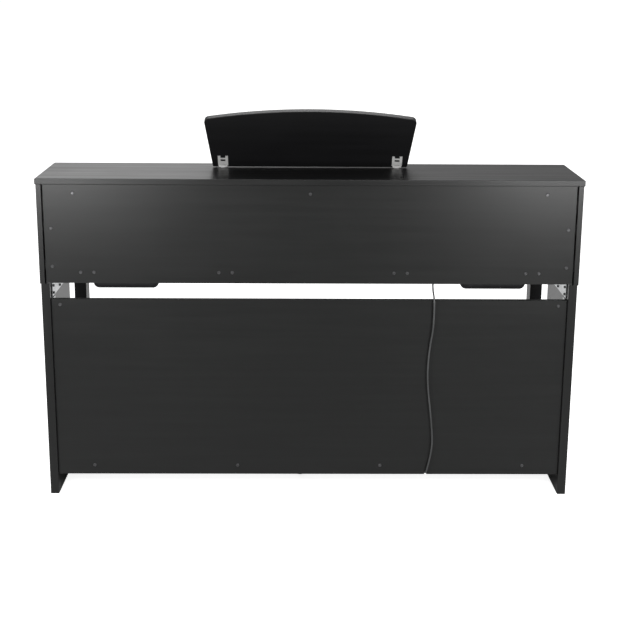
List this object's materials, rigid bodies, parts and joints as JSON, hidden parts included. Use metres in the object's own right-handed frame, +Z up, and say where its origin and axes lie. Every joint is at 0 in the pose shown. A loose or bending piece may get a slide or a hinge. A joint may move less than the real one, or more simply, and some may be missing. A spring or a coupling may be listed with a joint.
{
  "type": "digital piano on stand",
  "caption": "Home digital piano on a panelled stand: full keyboard, sliding key cover, folding music rest, pedal box with pedals and a hanging pedal cable.",
  "frame": {"origin": "on the floor, under the middle of the piano", "axes": "+X towards the treble end, +Y towards the piano's back, +Z up"},
  "size_m": [1.38, 0.425, 1.0183],
  "materials": {
    "black_laminate": "satin black wood-grain laminate",
    "white_key_plastic": "smooth ivory-white",
    "black_key_plastic": "matt ebony-black",
    "black_plastic": "fine textured black",
    "chassis_steel": "dark paint",
    "galvanised_steel": "zinc-plated sheet",
    "nickel_steel": "nickel-plated",
    "black_steel": "black zinc",
    "circuit_board": "solder mask",
    "pedal_brass": "polished and lacquered",
    "cable_sheath": "soft grey-black PVC",
    "rubber_bush": "matt"
  },
  "bodies": {
    "body": {"angle_bracket_left": "galvanised_steel", "angle_bracket_right": "galvanised_steel", "bracket_screws": "black_steel", "cable_gland": "rubber_bush", "cheek_left": "black_laminate", "cheek_right": "black_laminate", "console_back_panel": "black_laminate", "end_block_left": "black_laminate", "end_block_right": "black_laminate", "foot_left": "black_laminate", "foot_right": "black_laminate", "front_leg_left": "black_laminate", "front_leg_right": "black_laminate", "headphone_box": "black_plastic", "key_bed": "black_laminate", "key_frame": "black_plastic", "key_rod": "chassis_steel", "key_slip": "black_laminate", "lid_front_rail": "black_laminate", "lid_top": "black_laminate", "main_circuit_board": "circuit_board", "panel_brackets": "galvanised_steel", "panel_screws": "black_steel", "pedal_box": "black_laminate", "pedal_cable": "cable_sheath", "pedal_plug": "black_plastic", "pedal_shaft": "chassis_steel", "power_inlet_box": "black_plastic", "rest_hinge_ears": "nickel_steel", "side_board_left": "black_laminate", "side_board_right": "black_laminate", "socket_box": "black_plastic", "speaker_driver_left": "chassis_steel", "speaker_driver_right": "chassis_steel", "speaker_housing_left": "black_plastic", "speaker_housing_right": "black_plastic", "stand_back_panel": "black_laminate"},
    "key_cover": {"key_cover": "black_laminate", "key_cover_rail": "black_laminate"},
    "music_rest": {"music_rest": "black_laminate", "rest_clip_left": "nickel_steel", "rest_clip_right": "nickel_steel"},
    "pedal_left": {"pedal_left": "pedal_brass"},
    "pedal_middle": {"pedal_middle": "pedal_brass"},
    "pedal_right": {"pedal_right": "pedal_brass"},
    "volume_knob": {"volume_knob": "black_plastic"},
    "power_button": {"power_button": "black_plastic"},
    "adjuster_foot": {"adjuster_foot": "black_plastic"},
    "keys_bass": {"white_keys_bass": "white_key_plastic", "black_keys_bass": "black_key_plastic"},
    "keys_treble": {"white_keys_treble": "white_key_plastic", "black_keys_treble": "black_key_plastic"},
    "c_key": {"c_key": "white_key_plastic"},
    "c_sharp_key": {"c_sharp_key": "black_key_plastic"},
    "d_key": {"d_key": "white_key_plastic"},
    "d_sharp_key": {"d_sharp_key": "black_key_plastic"},
    "e_key": {"e_key": "white_key_plastic"},
    "f_key": {"f_key": "white_key_plastic"},
    "f_sharp_key": {"f_sharp_key": "black_key_plastic"},
    "g_key": {"g_key": "white_key_plastic"}
  },
  "joints": [
    {"name": "key_cover_slide", "type": "slide", "parent": "body", "child": "key_cover", "axis": [0, -0.9903, -0.1392], "range_m": [0, 0.17]},
    {"name": "music_rest_fold", "type": "hinge", "parent": "body", "child": "music_rest", "pos_m": [0, 0.0515, 0.8578], "axis": [-1, 0, 0], "range_deg": [0, 64]},
    {"name": "volume_turn", "type": "hinge", "parent": "body", "child": "volume_knob", "pos_m": [-0.642, -0.0875, 0.7245], "axis": [0, 0, 1], "range_deg": [-140, 140]},
    {"name": "power_press", "type": "slide", "parent": "body", "child": "power_button", "axis": [0, 0, -1], "range_m": [0, 0.0018], "stiffness_N_per_m": 600, "springref_m": -0.0015},
    {"name": "adjuster_height", "type": "slide", "parent": "body", "child": "adjuster_foot", "axis": [0, 0, 1], "range_m": [0, 0.012]},
    {"name": "pedal_left_press", "type": "hinge", "parent": "body", "child": "pedal_left", "pos_m": [-0.07, 0.1225, 0.08], "axis": [1, 0, 0], "range_deg": [0, 5.5], "stiffness_Nm_per_rad": 12, "springref_deg": -6.88},
    {"name": "pedal_middle_press", "type": "hinge", "parent": "body", "child": "pedal_middle", "pos_m": [0, 0.1225, 0.08], "axis": [1, 0, 0], "range_deg": [0, 5.5], "stiffness_Nm_per_rad": 12, "springref_deg": -6.88},
    {"name": "pedal_right_press", "type": "hinge", "parent": "body", "child": "pedal_right", "pos_m": [0.07, 0.1225, 0.08], "axis": [1, 0, 0], "range_deg": [0, 5.5], "stiffness_Nm_per_rad": 12, "springref_deg": -6.88},
    {"name": "c_key_press", "type": "hinge", "parent": "body", "child": "c_key", "pos_m": [0, -0.0025, 0.709], "axis": [1, 0, 0], "range_deg": [0, 2.9], "stiffness_Nm_per_rad": 4, "springref_deg": -2.86},
    {"name": "c_sharp_key_press", "type": "hinge", "parent": "body", "child": "c_sharp_key", "pos_m": [0, -0.0025, 0.709], "axis": [1, 0, 0], "range_deg": [0, 2.9], "stiffness_Nm_per_rad": 4, "springref_deg": -2.86},
    {"name": "d_key_press", "type": "hinge", "parent": "body", "child": "d_key", "pos_m": [0, -0.0025, 0.709], "axis": [1, 0, 0], "range_deg": [0, 2.9], "stiffness_Nm_per_rad": 4, "springref_deg": -2.86},
    {"name": "d_sharp_key_press", "type": "hinge", "parent": "body", "child": "d_sharp_key", "pos_m": [0, -0.0025, 0.709], "axis": [1, 0, 0], "range_deg": [0, 2.9], "stiffness_Nm_per_rad": 4, "springref_deg": -2.86},
    {"name": "e_key_press", "type": "hinge", "parent": "body", "child": "e_key", "pos_m": [0, -0.0025, 0.709], "axis": [1, 0, 0], "range_deg": [0, 2.9], "stiffness_Nm_per_rad": 4, "springref_deg": -2.86},
    {"name": "f_key_press", "type": "hinge", "parent": "body", "child": "f_key", "pos_m": [0, -0.0025, 0.709], "axis": [1, 0, 0], "range_deg": [0, 2.9], "stiffness_Nm_per_rad": 4, "springref_deg": -2.86},
    {"name": "f_sharp_key_press", "type": "hinge", "parent": "body", "child": "f_sharp_key", "pos_m": [0, -0.0025, 0.709], "axis": [1, 0, 0], "range_deg": [0, 2.9], "stiffness_Nm_per_rad": 4, "springref_deg": -2.86},
    {"name": "g_key_press", "type": "hinge", "parent": "body", "child": "g_key", "pos_m": [0, -0.0025, 0.709], "axis": [1, 0, 0], "range_deg": [0, 2.9], "stiffness_Nm_per_rad": 4, "springref_deg": -2.86},
    {"name": "keys_bass_press", "type": "hinge", "parent": "body", "child": "keys_bass", "pos_m": [0, -0.0025, 0.709], "axis": [1, 0, 0], "range_deg": [0, 2.9], "stiffness_Nm_per_rad": 120, "springref_deg": -4.58},
    {"name": "keys_treble_press", "type": "hinge", "parent": "body", "child": "keys_treble", "pos_m": [0, -0.0025, 0.709], "axis": [1, 0, 0], "range_deg": [0, 2.9], "stiffness_Nm_per_rad": 120, "springref_deg": -4.58}
  ]
}
